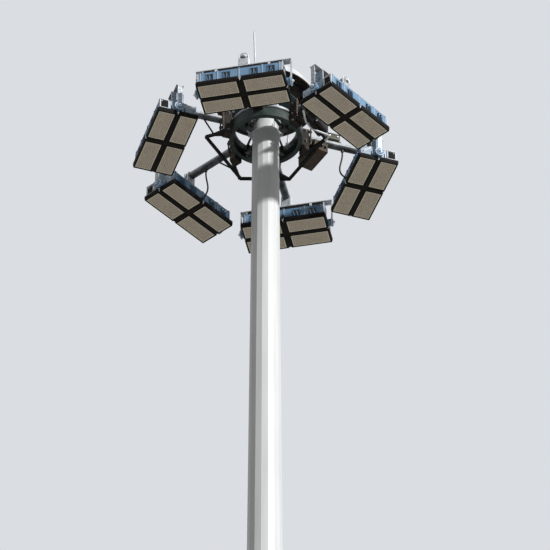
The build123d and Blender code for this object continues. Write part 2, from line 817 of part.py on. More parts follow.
# Yokes, straps that hang from the arms, with an eye round each pivot disc
swing_radius = sqrt((driver_top_z - pivot_z) ** 2 + (driver_width / 2) ** 2)
yoke_top_z = pivot_z + swing_radius + yoke_run_clearance + yoke_thickness
with BuildPart() as yoke_blank:
    for side in (-1, 1):
        with BuildSketch(Plane.YZ.offset(side * yoke_in)):
            with Locations((-lamp_radius, (pivot_z + yoke_top_z) / 2)):
                Rectangle(yoke_leg_width, yoke_top_z - pivot_z)
            with Locations((-lamp_radius, pivot_z)):
                Circle(pivot_disc / 2 + yoke_eye)
                Circle(pivot_disc / 2, mode=Mode.SUBTRACT)
        extrude(amount=side * yoke_thickness)
    with BuildSketch(Plane.XY.offset(yoke_top_z)):
        with Locations((0, -lamp_radius)):
            Rectangle(2 * (yoke_in + yoke_thickness), yoke_width)
    extrude(amount=-yoke_thickness)
    with BuildSketch(Plane.XY.offset(yoke_top_z)):
        with Locations((0, -lamp_radius)):
            Rectangle(arm_tube, yoke_width)
    extrude(amount=arm_z - yoke_top_z - arm_tube / 4)
    with BuildSketch(Plane.XZ):
        with Locations((0, arm_z)):
            Circle(arm_tube / 2 + post_clearance)
    extrude(amount=2 * lamp_radius, mode=Mode.SUBTRACT)
with BuildPart() as yokes:
    with PolarLocations(0, lamp_count):
        add(yoke_blank.part)
save(yokes.part, "yokes")
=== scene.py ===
# High mast floodlight tower, dressed for the photograph's view. Metres, +Z up.
# Lamp 1 stands over -Y and the others follow every 60 degrees, anticlockwise seen from above.
from itertools import product
from math import asin, cos, degrees, pi, radians, sin, sqrt

import bmesh
import bpy
from mathutils import Matrix, Vector


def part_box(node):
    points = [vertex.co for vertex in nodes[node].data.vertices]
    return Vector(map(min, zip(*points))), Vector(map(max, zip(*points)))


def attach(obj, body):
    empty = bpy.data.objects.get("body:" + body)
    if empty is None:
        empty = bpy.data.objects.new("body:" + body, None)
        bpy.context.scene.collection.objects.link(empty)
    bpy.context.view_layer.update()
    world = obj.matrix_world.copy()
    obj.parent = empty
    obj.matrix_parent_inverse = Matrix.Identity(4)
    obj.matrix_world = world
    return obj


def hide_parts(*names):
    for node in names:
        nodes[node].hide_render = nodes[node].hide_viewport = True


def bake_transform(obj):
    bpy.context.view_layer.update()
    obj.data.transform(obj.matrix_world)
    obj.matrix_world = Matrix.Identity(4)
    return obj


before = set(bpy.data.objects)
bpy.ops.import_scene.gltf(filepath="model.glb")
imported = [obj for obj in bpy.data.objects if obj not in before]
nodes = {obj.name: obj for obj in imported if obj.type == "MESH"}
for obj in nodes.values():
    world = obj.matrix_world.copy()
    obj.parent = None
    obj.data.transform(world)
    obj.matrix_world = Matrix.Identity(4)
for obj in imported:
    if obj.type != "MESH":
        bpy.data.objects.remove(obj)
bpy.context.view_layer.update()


def span(name):
    """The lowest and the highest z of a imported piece."""
    low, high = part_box(name)
    return low.z, high.z


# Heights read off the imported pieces
face_z, tray_top_z = span("lamp_1_tray")
sink_top_z = span("lamp_1_heat_sink")[1]
driver_top_z = span("lamp_1_driver_box")[1]
arm_z = sum(span("carriage_ring")) / 2
head_z = span("head_plate")[0]

# Heights that follow from them
sink_middle_z = (tray_top_z + sink_top_z) / 2
driver_middle_z = (sink_top_z + driver_top_z) / 2
driver_rise = driver_top_z - sink_top_z
pivot_z = face_z + 0.08
yoke_top_z = face_z + 0.3449
flange_top_z = 0.04
seam_z = head_z - 0.88
collar_low_z = head_z - 0.324
collar_flange_z = head_z - 0.18
canopy_rim_z = head_z + 0.117
sheave_z = head_z + 0.147
slip_joints = (9.3, 17.3)

# Radii and widths that the pieces share
mast_sides = 16
fold_angle = 360 / mast_sides
mast_top_width = 0.256
mast_growth = 0.011
anchor_radius = 0.34
door_azimuth = 11.25
lamp_radius = 0.981
panel_length = 0.372
panel_width = 0.162
sink_length = 0.77
sink_width = 0.35
driver_length = 0.74
driver_width = 0.12
pivot_nut_x = 0.454
ring_radius = 0.316
ring_tube = 0.06
ring_top_z = arm_z + ring_tube / 2
arm_tube = 0.076
arm_end = 1.023
post_in = 0.347
post_out = 0.417
post_middle = 0.382
post_half = 0.0463
sheave_radius = 0.118
sheave_centre = 0.198
collar_radius = 0.1375
canopy_radius = 0.484
canopy_crown = 0.361
rope_angles = (30, 150, 270)
lamp_angles = tuple(range(0, 360, 60))
guard_angles = (60, 120, 180, 240, 300)
lead_angles = (120, 240)
junction_angle = 120
bracket_angles = (90, 210, 330)
guide_angles = (60, 150, 240, 330)
ear_angles = (100, 280)


# Small tools for meshes
def polar(angle, radius, z, side=0.0):
    """A point at a radius under an angle, moved sideways, anticlockwise seen from above."""
    a = radians(angle)
    return Vector((radius * sin(a) + side * cos(a), -radius * cos(a) + side * sin(a), z))


def outward(angle):
    return polar(angle, 1.0, 0.0)


def sideways(angle):
    return polar(angle, 0.0, 0.0, 1.0)


def around(count):
    """Turns in even steps, once round, in radians."""
    return [2 * pi * i / count for i in range(count)]


def half_round(count):
    """Turns from 0 to half a turn, both ends included."""
    return [pi * i / count for i in range(count + 1)]


def move(x, y, z):
    return Matrix.Translation((x, y, z))


def turn(angle, axis):
    return Matrix.Rotation(radians(angle), 4, axis)


def place(origin, axis, across=(0, 0, 1)):
    """A placement whose z runs along axis and whose x leans to across, or to +X where the two are one."""
    z = Vector(axis).normalized()
    x = Vector(across) - z * z.dot(Vector(across))
    if x.length < 1e-5:
        x = Vector((1, 0, 0))
    x.normalize()
    made = Matrix((x, z.cross(x), z)).transposed().to_4x4()
    made.translation = Vector(origin)
    return made


def both_sides(angles, radius, z, gap):
    """Placements on both sides of a radius at every angle, which look away from each other."""
    spots = product(angles, (-1, 1))
    return [place(polar(angle, radius, z, side * gap), sideways(angle) * side) for angle, side in spots]


def bridge(bm, rings, closed=False):
    """Skins neighbouring rings of vertices. A ring of one vertex is a tip."""
    pairs = list(zip(rings, rings[1:]))
    if closed:
        pairs.append((rings[-1], rings[0]))
    for low, high in pairs:
        count = max(len(low), len(high))
        for i in range(count):
            j = (i + 1) % count
            corners = [low[i % len(low)], low[j % len(low)], high[j % len(high)], high[i % len(high)]]
            face = list(dict.fromkeys(corners))
            if len(face) > 2:
                bm.faces.new(face)


def lathe(bm, at, profile, sides):
    """Turns (radius, height) points about the placement's z."""
    rings = []
    for radius, height in profile:
        turns = around(sides) if radius > 1e-6 else [0.0]
        rings.append([bm.verts.new(at @ Vector((radius * cos(t), radius * sin(t), height))) for t in turns])
    bridge(bm, rings)


def walk(points, closed=False):
    """Each point of a path, and two directions square to the path there."""
    count = len(points)
    normal = None
    for i, point in enumerate(points):
        after = points[(i + 1) % count] if closed or i < count - 1 else point
        before = points[i - 1] if closed or i > 0 else point
        along = (after - before).normalized()
        if normal is None:
            normal = along.orthogonal()
        normal = (normal - along * normal.dot(along)).normalized()
        yield point, normal, along.cross(normal)


def tube(bm, path, radius, sides=8, closed=False, ripple=0.0):
    """A round bar or rope along points, or a weld bead where its radius ripples."""
    rings = []
    for i, (point, normal, across) in enumerate(walk([Vector(p) for p in path], closed)):
        size = radius * (1 + ripple * sin(i * 2.4))
        rings.append([bm.verts.new(point + (normal * cos(t) + across * sin(t)) * size) for t in around(sides)])
    bridge(bm, rings, closed)
    if not closed:
        bm.faces.new(rings[0])
        bm.faces.new(rings[-1])


def slab(bm, at, size, eased):
    """A plate centred on the placement, its edges eased by a small round."""
    made = bmesh.ops.create_cube(bm, size=1, matrix=at @ Matrix.Diagonal((*size, 1)))
    edges = list({edge for vert in made["verts"] for edge in vert.link_edges})
    bmesh.ops.bevel(bm, geom=edges, offset=eased, segments=2, affect="EDGES", profile=0.6)


def slabs(bm, eased, rows, at=Matrix(), mirror=""):
    """Plates with one easing, x, y, z and three sizes to a row, and their mirror images along x or y."""
    ways = product((-1, 1) if "x" in mirror else (1,), (-1, 1) if "y" in mirror else (1,))
    for (x, y, z, *size), (way_x, way_y) in product(rows, ways):
        slab(bm, at @ move(x * way_x, y * way_y, z), size, eased)


def bar_frame(bm, x, y, z, opening, width, height, eased):
    """Four flat bars round an opening of a length and a depth."""
    length, depth = opening
    at = move(x, y, z)
    slabs(bm, eased, [(0, (depth + width) / 2, 0, length + 2 * width, width, height)], at, "y")
    slabs(bm, eased, [((length + width) / 2, 0, 0, width, depth, height)], at, "x")


def hex_bolt(bm, at, across, height, washer=0.0, stud=0.0, pitch=0.0):
    """A washer, a hexagon and the thread that stands out of it, along the placement's z."""
    corner = across / sqrt(3)
    rest = 0.0
    if washer:
        rest = height * 0.18
        rim = washer / 2
        lathe(bm, at, [(0, 0), (rim, 0), (rim, rest * 0.8), (rim - rest * 0.3, rest), (0, rest)], 20)
    top = rest + height
    lathe(bm, at, [(0, rest), (corner, rest), (corner, top - height * 0.12), (corner * 0.9, top), (0, top)], 6)
    if stud:
        thread = across * 0.32
        profile = [(0, top - height * 0.1), (thread, top - height * 0.1)]
        if pitch:
            for i in range(int(stud / pitch)):
                profile += [(thread, top + pitch * i), (thread * 0.88, top + pitch * (i + 0.5))]
        profile += [(thread, top + stud - thread * 0.2), (thread * 0.8, top + stud), (0, top + stud)]
        lathe(bm, at, profile, 14)


def screw(bm, at, width, height):
    """A low domed head with a socket in it."""
    r = width / 2
    lathe(bm, at, [
        (0, 0), (r, 0), (r, height * 0.45), (r * 0.75, height * 0.9), (r * 0.45, height),
        (r * 0.42, height * 0.5), (0, height * 0.5),
    ], 12)


def gland(bm, at, width, height):
    """A cable gland: hexagon, dome nut and its mouth."""
    lathe(bm, at, [(0, 0), (width * 0.58, 0), (width * 0.58, height * 0.3), (0, height * 0.3)], 6)
    lathe(bm, at, [
        (0, height * 0.3), (width * 0.5, height * 0.3), (width * 0.5, height * 0.7),
        (width * 0.42, height * 0.95), (width * 0.32, height), (0, height),
    ], 18)


def new_object(name, data):
    """Links a mesh, curve, lamp or camera into the scene."""
    made = bpy.data.objects.new(name, data)
    bpy.context.scene.collection.objects.link(made)
    return made


def meshed(name, bm, material):
    """Turns what was built into a mesh with one finish."""
    bmesh.ops.recalc_face_normals(bm, faces=bm.faces)
    mesh = bpy.data.meshes.new(name)
    bm.to_mesh(mesh)
    bm.free()
    mesh.materials.append(material)
    return mesh


def finished(name, bm, material, body, sharp=35):
    """Makes what was built a named piece that rides on its body, if it has one."""
    mesh = meshed(name, bm, material)
    mesh.shade_smooth()
    mesh.set_sharp_from_angle(angle=radians(sharp))
    made = new_object(name, mesh)
    if body:
        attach(made, body)
    return made


def piece(body, material, sharp=35):
    """Builds the piece that the function below describes and is named after."""
    def build(shape):
        bm = bmesh.new()
        shape(bm)
        finished(shape.__name__, bm, material, body, sharp)
    return build


def lamp_piece(material, sharp=35):
    """Builds such a piece about a lamp's middle, x along it and -y outward, and repeats it on all six."""
    def build(shape):
        for index, angle in enumerate(lamp_angles):
            bm = bmesh.new()
            shape(bm)
            bm.transform(turn(angle, "Z") @ move(0, -lamp_radius, 0))
            body = "lamp_%d" % (index + 1)
            finished("%s_%s" % (body, shape.__name__), bm, material, body, sharp)
    return build


# Materials
def linear(code):
    """An sRGB hex colour as linear red, green, blue and alpha."""
    values = [int(code[i:i + 2], 16) / 255 for i in (1, 3, 5)]
    return tuple(v / 12.92 if v <= 0.04045 else ((v + 0.055) / 1.055) ** 2.4 for v in values) + (1.0,)


# The helpers below add nodes to the tree that their first socket is in
def feed(node, **inputs):
    """Sets a node's inputs, named or numbered as i0, to a value or to the socket that feeds them."""
    for key, value in inputs.items():
        numbered = key[0] == "i" and key[1:].isdigit()
        socket = node.inputs[int(key[1:]) if numbered else key.replace("_", " ")]
        if isinstance(value, bpy.types.NodeSocket):
            node.id_data.links.new(value, socket)
        else:
            socket.default_value = value


def add_node(home, kind, settings=None, **inputs):
    """Adds a node with its own settings and its inputs, to a tree or beside a socket."""
    made = home.id_data.nodes.new("ShaderNode" + kind)
    for key, value in (settings or {}).items():
        setattr(made, key, value)
    feed(made, **inputs)
    return made


def new_material(name):
    """A material with its shader, and coordinates in metres that ride with the piece."""
    material = bpy.data.materials.new(name)
    material.use_nodes = True
    tree = material.node_tree
    tree.nodes.clear()
    shader = add_node(tree, "BsdfPrincipled")
    add_node(tree, "OutputMaterial", Surface=shader.outputs["BSDF"])
    return material, shader, add_node(tree, "TexCoord").outputs["Object"]


def noise(where, scale, detail, **more):
    return add_node(where, "TexNoise", Vector=where, Scale=scale, Detail=detail, **more).outputs["Fac"]


def drawn_noise(where, stretch, detail):
    """Noise that is drawn out by another scale along each axis."""
    return noise(add_node(where, "Mapping", Vector=where, Scale=stretch).outputs["Vector"], 1.0, detail)


def sum_up(operation, *values):
    numbered = {"i%d" % i: value for i, value in enumerate(values)}
    return add_node(values[0], "Math", {"operation": operation}, **numbered).outputs[0]


def weighed(first, share, second):
    """Two patterns in one, the first with its share."""
    return sum_up("MULTIPLY_ADD", second, 1 - share, sum_up("MULTIPLY_ADD", first, share, 0.0))


def ranged(value, low, high, start=0.0, end=1.0):
    """Stretches start to end out to low to high."""
    ends = dict(From_Min=start, From_Max=end, To_Min=low, To_Max=high)
    return add_node(value, "MapRange", Value=value, **ends).outputs["Result"]


def two_tone(factor, dark, light, low, high):
    """A ramp from a dark to a light tone of one finish."""
    ramp = add_node(factor, "ValToRGB", Fac=factor)
    for element, position, tone in zip(ramp.color_ramp.elements, (low, high), (dark, light)):
        element.position = position
        element.color = linear(tone)
    return ramp.outputs["Color"]


def mixed(factor, first, second):
    return add_node(factor, "Mix", {"data_type": "RGBA"}, Factor=factor, i6=first, i7=second).outputs[2]


def bump(height, depth, strength):
    return add_node(height, "Bump", Height=height, Distance=depth, Strength=strength).outputs["Normal"]


def facing_up(where):
    """How far the face looks up, from -1 to 1."""
    facing = add_node(where, "NewGeometry").outputs["Normal"]
    return add_node(facing, "SeparateXYZ", Vector=facing).outputs["Z"]


def look(fed):
    """Makes a material from what the function below feeds its shader."""
    def made(name, *values):
        material, shader, where = new_material(name)
        feed(shader, **fed(where, *values))
        return material
    return made


@look
def painted_mast_steel(where):
    """Powder coat over galvanised steel: near white, satin, with faint rain streaks down the sides."""
    streaks = drawn_noise(where, (34, 34, 0.9), 5.0)
    clouds = drawn_noise(where, (3, 3, 0.7), 3.0)
    return dict(
        Base_Color=two_tone(weighed(streaks, 0.55, clouds), "#DDE1DF", "#F1F3F2", 0.34, 0.62),
        Roughness=ranged(streaks, 0.36, 0.5), Normal=bump(noise(where, 260.0, 2.0), 0.0004, 0.25),
    )


@look
def galvanised_steel(where, dark, light, metallic, spangle, underside=None):
    """Hot-dip galvanised steel: grey zinc with its spangle. When an underside tone is given, faces that look down
    get it as painted shade.
    """
    cells = add_node(where, "TexVoronoi", Vector=where, Scale=spangle).outputs["Color"]
    grey = add_node(cells, "SeparateColor", Color=cells)
    patches = noise(where, 9.0, 6.0)
    both = weighed(grey.outputs[0], 0.35, patches)
    zinc = two_tone(both, dark, light, 0.3, 0.66)
    # Painted shade: faces that look down turn to the darker underside tone, and faces that look up keep the zinc.
    if underside:
        lit_top_mask = ranged(facing_up(where), 0.0, 1.0, -0.45, 0.3)
        zinc = mixed(lit_top_mask, two_tone(patches, underside, dark, 0.4, 0.95), zinc)
    return dict(
        Base_Color=zinc, Metallic=metallic, Roughness=ranged(both, 0.34, 0.56), Normal=bump(both, 0.0006, 0.2),
    )


@look
def powder_coat(where, dark, light, roughness, gloss=0.35):
    """Powder coat on metal: even colour with a fine orange peel, and dust in the hollows."""
    dust = noise(where, 14.0, 6.0)
    return dict(
        Base_Color=two_tone(dust, dark, light, 0.38, 0.7), Specular_IOR_Level=gloss,
        Roughness=ranged(dust, roughness - 0.06, roughness + 0.08),
        Normal=bump(noise(where, 900.0, 1.0), 0.0003, 0.3),
    )


@look
def weathered_brown_steel(where, dark, light, rust, rust_from=0.56):
    """Brown primed steel that has started to rust: dull, with orange blooms."""
    grime = noise(where, 18.0, 8.0, Roughness=0.65)
    blooms = noise(where, 7.0, 9.0, Roughness=0.7)
    mask = ranged(blooms, 0.0, 1.0, rust_from, rust_from + 0.1)
    base = two_tone(grime, dark, light, 0.35, 0.68)
    return dict(
        Base_Color=mixed(mask, base, linear(rust)), Specular_IOR_Level=0.2,
        Roughness=ranged(mask, 0.62, 0.88), Normal=bump(grime, 0.0008, 0.4),
    )


@look
def sky_tinted_aluminium(where, dark, light, metallic, lines):
    """Extruded aluminium with the fine die lines of the extrusion; its blue-grey is a painted reflection of blue
    sky.
    """
    drawn = drawn_noise(where, lines, 3.0)
    both = weighed(drawn, 0.4, noise(where, 5.0, 4.0))
    return dict(
        Base_Color=two_tone(both, dark, light, 0.32, 0.66), Metallic=metallic,
        Roughness=ranged(drawn, 0.42, 0.58), Normal=bump(drawn, 0.0002, 0.2),
    )


@look
def moulded_plastic(where, dark, light, roughness, coat, ior, bloom):
    """Moulded plastic: polycarbonate lenses, nylon rollers and a lead's rubber sheath."""
    cloud = noise(where, bloom, 4.0)
    return dict(
        Base_Color=two_tone(cloud, dark, light, 0.35, 0.65), IOR=ior, Coat_Weight=coat,
        Roughness=ranged(cloud, roughness - 0.04, roughness + 0.06), Normal=bump(cloud, 0.0003, 0.2),
    )


@look
def led_board_material(where):
    """The LED board behind its lenses: beige, under a clear coat."""
    cloud = noise(where, 16.0, 5.0)
    fine = noise(where, 120.0, 2.0)
    return dict(
        Base_Color=two_tone(weighed(fine, 0.4, cloud), "#D0BFA8", "#E2D5C0", 0.36, 0.64),
        Roughness=0.35, Coat_Weight=0.3, Normal=bump(fine, 0.0003, 0.2),
    )


@look
def canopy_shell(where):
    """Spun sheet steel: white paint outside and a brown coat inside, told apart by which way the face looks."""
    outside = sum_up("GREATER_THAN", facing_up(where), 0.02)
    cloud = noise(where, 8.0, 6.0)
    white = two_tone(cloud, "#DDE0E1", "#F3F5F6", 0.35, 0.6)
    brown = two_tone(cloud, "#57504A", "#7B7168", 0.35, 0.65)
    return dict(
        Base_Color=mixed(outside, brown, white), Roughness=ranged(cloud, 0.3, 0.45), Normal=bump(cloud, 0.001, 0.15),
    )


mast_paint = painted_mast_steel("painted_mast_steel")
# The last colour is painted shade on the undersides of the arms and the ring.
galvanised = galvanised_steel("galvanised_steel", "#A9AFB3", "#DDE0E2", 0.25, 70.0, "#3C3F41")
yoke_zinc = galvanised_steel("galvanised_strap", "#A5ADB3", "#DDE1E4", 0.2, 90.0)
bright_zinc = galvanised_steel("zinc_plated_fasteners", "#C9CDD0", "#F2F4F5", 0.5, 300.0)
# The conduit's near-white zinc is partly its galvanised finish and partly a painted highlight along it.
conduit_zinc_highlight = galvanised_steel("galvanised_conduit_with_highlight", "#D3D7D9", "#F4F5F6", 0.15, 200.0)
dull_zinc = galvanised_steel("weathered_fasteners", "#4C4B48", "#7F807E", 0.4, 200.0)
wire_steel = galvanised_steel("steel_wire_rope", "#5B5B58", "#8C8D8A", 0.6, 500.0)
rod_metal = galvanised_steel("galvanised_rod", "#B9BDBF", "#E4E6E6", 0.35, 120.0)
black_coat = powder_coat("black_powder_coat", "#0D0A08", "#1A1612", 0.66, 0.15)
frame_black = powder_coat("black_painted_bar", "#100D0C", "#1E1A17", 0.62, 0.2)
box_green = powder_coat("grey_green_cabinet_paint", "#39453F", "#55625B", 0.5)
channel_green = powder_coat("dark_green_channel_paint", "#2B3733", "#47544F", 0.55, 0.25)
control_black = powder_coat("black_cabinet_paint", "#14110F", "#2A2522", 0.5)
driver_black = powder_coat("black_driver_housing", "#15130F", "#28241D", 0.55)
# Pale paint for the lamp ends, partly used as painted highlights on their edges.
pale_cover_and_highlight = powder_coat("pale_lamp_covers_and_edge_highlights", "#CFD6DD", "#F0F3F6", 0.45)
junction_olive = powder_coat("olive_grey_box_paint", "#4A4A3C", "#6E6C58", 0.5)
white_paint = powder_coat("white_collar_paint", "#DADDDD", "#F4F5F4", 0.4)
plate_grey = powder_coat("teal_grey_plate_paint", "#2B3A3F", "#46585C", 0.45)
brown_steel = weathered_brown_steel("brown_primed_steel", "#1A1511", "#302822", "#5A3820")
box_brown = weathered_brown_steel("brown_sheet_box", "#443D33", "#6A5E4F", "#8A5430")
rod_brown = weathered_brown_steel("copper_brown_rod", "#5E4A3F", "#8A7364", "#8C6249", 0.58)
# The heat sinks' blue is a painted sky reflection on pale aluminium.
sink_sky_tint = sky_tinted_aluminium("anodised_heat_sink", "#5E88AD", "#8FB2CF", 0.1, (4, 4, 300))
# The driver ends' blue-grey is a painted sky reflection, darker than the pale metal as painted shade.
cover_sky_tint = sky_tinted_aluminium("anodised_driver_ends", "#7F97B0", "#AFC0D2", 0.05, (60, 60, 60))
# The end plates' and ribs' blue-grey is a painted sky reflection, darker than their pale cast metal as painted
# shade.
end_cast = sky_tinted_aluminium("die_cast_end_plates", "#93AAC2", "#C8D6E4", 0.05, (60, 60, 60))
lens_clear = moulded_plastic("polycarbonate_lens", "#BDAF99", "#D2C5B0", 0.2, 0.4, 1.58, 60.0)
lens_rim = moulded_plastic("polycarbonate_rim", "#EFE6C6", "#FBF5DC", 0.25, 0.3, 1.58, 30.0)
black_nylon = moulded_plastic("black_cast_nylon", "#151515", "#2B2A29", 0.42, 0.0, 1.53, 26.0)
lead_rubber = moulded_plastic("black_rubber_lead", "#0E0E10", "#1C1C1F", 0.55, 0.0, 1.5, 40.0)
led_board = led_board_material("led_board")
canopy_paint = canopy_shell("canopy_shell")
lamp_finishes = (black_coat, led_board, sink_sky_tint, driver_black)


def paint(material, *names):
    """Gives CAD nodes their finish."""
    for name in names:
        nodes[name].data.materials.clear()
        nodes[name].data.materials.append(material)


paint(mast_paint, "base_flange", "mast_lower", "access_door", "mast_middle", "mast_upper", "head_tube")
paint(white_paint, "head_collar")
paint(plate_grey, "head_plate")
paint(black_nylon, "sheaves", "guide_rollers")
paint(canopy_paint, "canopy")
paint(brown_steel, "canopy_brackets", "arm_posts")
paint(rod_metal, "lightning_rod")
paint(frame_black, "docking_guides", "guard_frame")
paint(galvanised, "carriage_ring", "arms")
paint(channel_green, "cable_channel")
paint(conduit_zinc_highlight, "conduit")
paint(box_brown, "gear_box")
paint(control_black, "control_box")
paint(box_green, "terminal_box")
paint(yoke_zinc, "yokes")
for number in range(1, 7):
    for part, material in zip(("tray", "panels", "heat_sink", "driver_box"), lamp_finishes):
        paint(material, "lamp_%d_%s" % (number, part))


# Lamps
lens_pitch = 0.0205
lens_columns = 17
lens_rows = 7
clamp_cover = 0.006
half_length = 0.41
half_width = 0.192
sink_end = sink_length / 2
sink_side = sink_width / 2
driver_end = driver_length / 2
driver_side = driver_width / 2
panel_face_z = face_z + 0.002
pocket_x = panel_length / 2 + 0.028
pocket_y = panel_width / 2 + 0.022
pockets = list(product((-pocket_x, pocket_x), (-pocket_y, pocket_y)))

# The leads hang from the arms' tubes to the heat sinks' inner sides: radius, and depth under the arm's middle
lead_diameter = 0.016
lead_route = (
    (0.765, 0.062), (0.7655, 0.1), (0.758, 0.16), (0.745, 0.22), (0.735, 0.28), (0.74, 0.33), (0.76, 0.362),
    (0.788, 0.382),
)


@lamp_piece(lens_clear, 60)
def lenses(bm):
    """Rows of small domes over the diodes."""
    dome = [(0.0078, -0.001), (0.0074, 0.0018), (0.0048, 0.0038), (0, 0.0045)]
    for (x, y), column, row in product(pockets, range(lens_columns), range(lens_rows)):
        along = (column - (lens_columns - 1) / 2) * lens_pitch
        across = (row - (lens_rows - 1) / 2) * lens_pitch
        lathe(bm, place((x + along, y + across, panel_face_z), (0, 0, -1)), dome, 8)


@lamp_piece(lens_rim)
def lens_rims(bm):
    """The raised rim of each lens plate, inside its clamping frame."""
    rim = 0.0095
    inset = 2 * (clamp_cover + rim)
    for x, y in pockets:
        bar_frame(bm, x, y, panel_face_z - 0.0005, (panel_length - inset, panel_width - inset), rim, 0.003, 0.0007)


@lamp_piece(bright_zinc)
def tray_bolts(bm):
    """The bolts in the notches at the ends of the cross."""
    for x, y in ((0, 1), (0, -1), (1, 0), (-1, 0)):
        at = place((x * (half_length - 0.006), y * (half_width - 0.006), tray_top_z), (0, 0, -1))
        hex_bolt(bm, at, 0.014, 0.012, 0.022, 0.008)


@lamp_piece(black_coat)
def tray_lip(bm):
    """The black frames that clamp the lens plates, their screws, the tray's skirt and the cross's ribs."""
    opening = (panel_length - 2 * clamp_cover, panel_width - 2 * clamp_cover)
    for x, y in pockets:
        bar_frame(bm, x, y, face_z + 0.0002, opening, clamp_cover + 0.007, 0.0036, 0.001)
        for side, i in product((-1, 1), range(-2, 3)):
            spot = (x + i * 0.084, y + side * (panel_width / 2 + 0.001), face_z - 0.0014)
            screw(bm, place(spot, (0, 0, -1)), 0.006, 0.002)
    slabs(bm, 0.0012, (
        (half_length / 2 + 0.006, half_width + 0.001, tray_top_z + 0.004, half_length - 0.018, 0.004, 0.036),
        (half_length + 0.001, half_width / 2 + 0.006, tray_top_z + 0.001, 0.004, half_width - 0.018, 0.03),
    ), mirror="xy")
    slabs(bm, 0.001, [(0, half_width / 2 + 0.01, face_z - 0.001, 0.032, half_width - 0.05, 0.004)], mirror="y")
    slabs(bm, 0.001, [(half_length / 2 + 0.01, 0, face_z - 0.001, half_length - 0.05, 0.024, 0.004)], mirror="x")


@lamp_piece(sink_sky_tint)
def sink_rails(bm):
    """Folded rails along the heat sink's top, and the lips round its slots."""
    slabs(bm, 0.001, [(0, sink_side - 0.006, sink_top_z + 0.0015, sink_length, 0.014, 0.003)], mirror="y")
    y = sink_side + 0.001
    for x, edge in product((0.130, 0.288), (-1, 1)):
        slabs(bm, 0.0008, (
            (x + edge * 0.0415, y, sink_middle_z, 0.004, 0.003, 0.1),
            (x, y, sink_middle_z + edge * 0.0495, 0.086, 0.003, 0.004),
        ), mirror="xy")


@lamp_piece(end_cast)
def sink_ribs(bm):
    """Pale ribs that stiffen the heat sink's sides, with a tab over its top edge."""
    for x in (-0.372, -0.209, -0.008, 0.209, 0.372):
        slabs(bm, 0.0012, (
            (x, sink_side + 0.002, sink_middle_z + 0.006, 0.011, 0.006, 0.125),
            (x, sink_side - 0.004, sink_top_z + 0.004, 0.02, 0.018, 0.006),
        ), mirror="y")


@lamp_piece(end_cast)
def end_plates(bm):
    """Cast plates over the ends of the fins, with the boss that the pivot turns in."""
    x = sink_end + 0.002
    slabs(bm, 0.0015, [(x, 0, sink_middle_z, 0.005, sink_width - 0.004, 0.132)], mirror="x")
    boss = [(0.05, 0), (0.05, 0.005), (0.046, 0.009), (0.037, 0.009), (0.037, 0)]
    for side in (-1, 1):
        lathe(bm, place((side * x, 0, pivot_z), (side, 0, 0)), boss, 36)


@lamp_piece(cover_sky_tint)
def driver_ends(bm):
    """The plates over the driver's ends, with a shallow pressed panel; they are a darker blue-grey than their pale
    metal, as painted shade and painted sky reflection.
    """
    z = driver_middle_z + 0.006
    slabs(bm, 0.0015, [(driver_end + 0.003, 0, z, 0.006, driver_width - 0.004, driver_rise - 0.016)], mirror="x")
    slabs(bm, 0.0012, [(driver_end + 0.006, 0, z, 0.003, driver_width - 0.04, driver_rise - 0.06)], mirror="x")


@lamp_piece(pale_cover_and_highlight)
def end_covers_and_edge_highlights(bm):
    """Pale strips on the driver ends' side and top edges and pale bars that frame the outer bracket, as painted
    highlights on those edges, a pale ledge at each driver end's foot and a slanted strap inside.
    """
    x = driver_end + 0.004
    bracket_x = sink_end + 0.0085
    # Painted highlights: pale strips along the driver end's edges and pale bars that frame the outer bracket.
    slabs(bm, 0.0015, [(x, driver_side, driver_middle_z + 0.008, 0.01, 0.006, driver_rise - 0.014)], mirror="xy")
    slabs(bm, 0.0015, (
        (x, 0, driver_top_z - 0.004, 0.01, driver_width + 0.006, 0.008),
        (bracket_x, -0.172, sink_middle_z, 0.013, 0.012, 0.132),
        (bracket_x, -0.092, sink_middle_z, 0.013, 0.01, 0.132),
        (bracket_x, -0.132, sink_top_z - 0.004, 0.013, 0.09, 0.012),
        (bracket_x, -0.132, tray_top_z + 0.03, 0.013, 0.09, 0.012),
    ), mirror="x")
    slabs(bm, 0.0012, [(driver_end + 0.012, 0, sink_top_z + 0.003, 0.02, driver_width + 0.03, 0.005)], mirror="x")
    for side in (-1, 1):
        strap = move(side * (sink_end + 0.006), 0.115, sink_middle_z + 0.028) @ turn(-40, "X")
        slab(bm, strap, (0.004, 0.12, 0.026), 0.001)


@lamp_piece(black_coat)
def end_recess_shade(bm):
    """Black plates on the end plates as painted shade of their recesses, and a black disc as painted shade of the
    hole beside them.
    """
    slabs(bm, 0.001, (
        (sink_end + 0.0035, -0.132, sink_middle_z, 0.004, 0.072, 0.112),
        (sink_end + 0.0045, -0.062, sink_middle_z - 0.012, 0.004, 0.009, 0.06),
        (sink_end + 0.0045, 0.066, sink_middle_z - 0.012, 0.004, 0.009, 0.06),
    ), mirror="x")
    hole = [(0, 0), (0.0075, 0), (0.0065, 0.001), (0, 0.001)]
    for side in (-1, 1):
        lathe(bm, place((side * (sink_end + 0.0082), 0.148, sink_middle_z), (side, 0, 0)), hole, 16)


@lamp_piece(rod_brown)
def end_strips(bm):
    """The rust-red gasket strip under each driver end."""
    slabs(bm, 0.001, [(driver_end + 0.006, 0, sink_top_z + 0.0095, 0.008, driver_width + 0.012, 0.008)], mirror="x")


